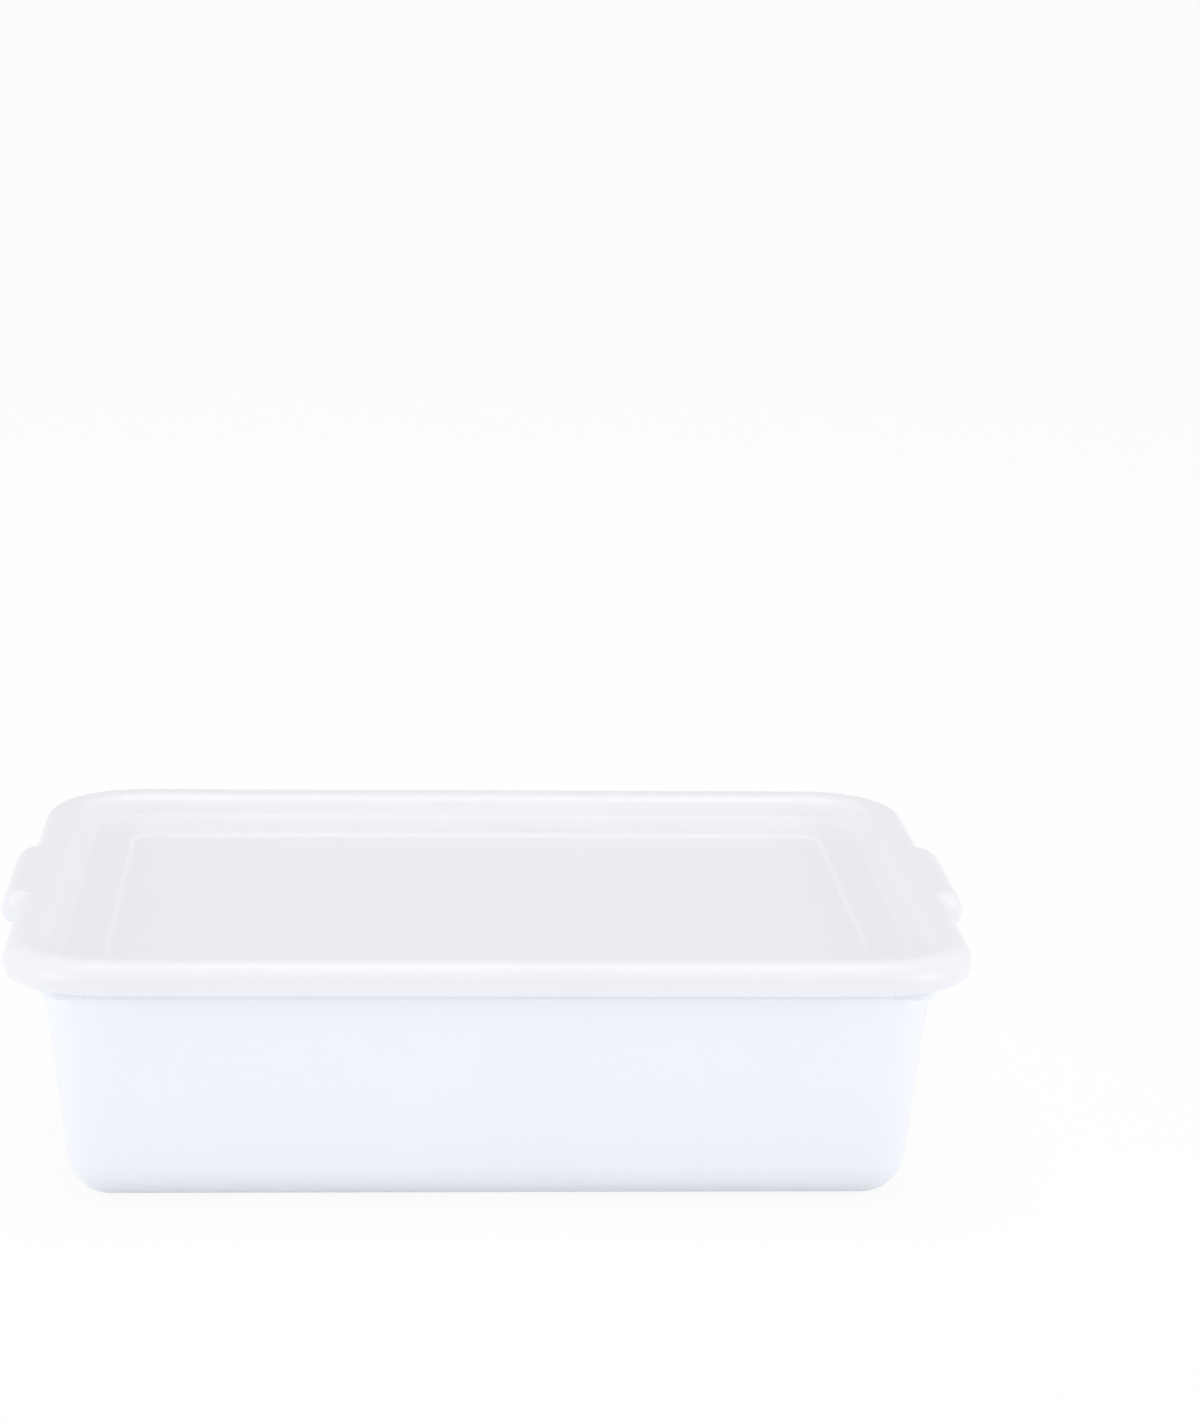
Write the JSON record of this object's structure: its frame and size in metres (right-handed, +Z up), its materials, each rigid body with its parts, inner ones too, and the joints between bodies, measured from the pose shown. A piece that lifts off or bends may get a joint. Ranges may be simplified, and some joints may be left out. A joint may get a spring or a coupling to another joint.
{
  "type": "dough proofing container",
  "caption": "Low rectangular plastic food box with a lift-off lid: rounded border, sunk panel for stacking, and a grip on each short side.",
  "frame": {"origin": "centre of the tub's base, on the surface it stands on", "axes": "+X along the length, towards one grip; +Y along the width; +Z up"},
  "size_m": [0.458, 0.337, 0.1215],
  "materials": {
    "tub_plastic": "white polypropylene, soft gloss, slightly translucent",
    "lid_plastic": "white polypropylene, satin with a fine moulded grain on the panel"
  },
  "bodies": {
    "tub": {"tub": "tub_plastic"},
    "lid": {"lid": "lid_plastic"}
  },
  "joints": [
    {"name": "lid_lift", "type": "slide", "parent": "tub", "child": "lid", "axis": [0, 0, 1], "range_m": [0, 0.15]}
  ]
}
